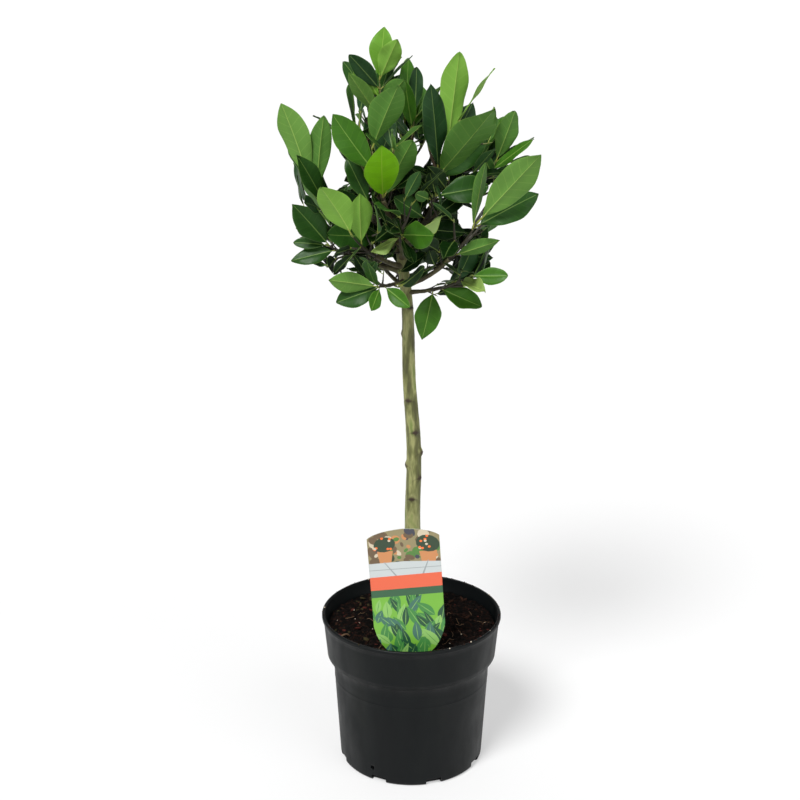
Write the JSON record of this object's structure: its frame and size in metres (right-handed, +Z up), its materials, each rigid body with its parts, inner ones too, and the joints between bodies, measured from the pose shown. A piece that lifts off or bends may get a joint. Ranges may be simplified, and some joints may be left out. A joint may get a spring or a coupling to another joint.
{
  "type": "standard bay topiary in a pot",
  "caption": "Young bay laurel grown as a short standard: a leafy head on one clear stem, in a round nursery pot with soil and a plant label.",
  "frame": {"origin": "middle of the pot's flat underside, on the level it stands on", "axes": "+Z up along the stem, -Y towards the front with the label, +X to the right"},
  "size_m": [0.2481, 0.2319, 0.7663],
  "materials": {
    "pot": "dark charcoal moulded plastic, satin, lightly scuffed",
    "soil": "coarse dark peat compost with paler chips",
    "label": "thin printed plastic card in greens and terracotta",
    "bark": "smooth young olive-green bark with pale streaks and bud scars",
    "leaf": "leathery leaves, glossy dark green above and pale matt green below"
  },
  "bodies": {
    "root": {"pot": "pot", "soil": "soil", "label": "label", "trunk": "bark", "bough_high_back_left": "bark", "bough_high_back_right": "bark", "bough_high_inner_right": "bark", "bough_high_left": "bark", "bough_high_right": "bark", "bough_inner_left": "bark", "bough_inner_right": "bark", "bough_low_back": "bark", "bough_low_back_right": "bark", "bough_low_front": "bark", "bough_low_right": "bark", "bough_middle_back": "bark", "bough_middle_back_left": "bark", "bough_middle_front": "bark", "bough_middle_front_left": "bark", "bough_middle_left": "bark", "bough_middle_right": "bark", "bough_top": "bark", "bough_top_right": "bark", "bough_upper_back": "bark", "bough_upper_front": "bark", "bough_upper_left": "bark", "bough_upper_right": "bark", "foliage_high_back_left": "leaf", "foliage_high_back_right": "leaf", "foliage_high_inner_right": "leaf", "foliage_high_left": "leaf", "foliage_high_right": "leaf", "foliage_inner_left": "leaf", "foliage_inner_right": "leaf", "foliage_low_back": "leaf", "foliage_low_back_right": "leaf", "foliage_low_front": "leaf", "foliage_low_right": "leaf", "foliage_middle_back": "leaf", "foliage_middle_back_left": "leaf", "foliage_middle_front": "leaf", "foliage_middle_front_left": "leaf", "foliage_middle_left": "leaf", "foliage_middle_right": "leaf", "foliage_top": "leaf", "foliage_top_right": "leaf", "foliage_upper_back": "leaf", "foliage_upper_front": "leaf", "foliage_upper_left": "leaf", "foliage_upper_right": "leaf"}
  },
  "joints": []
}
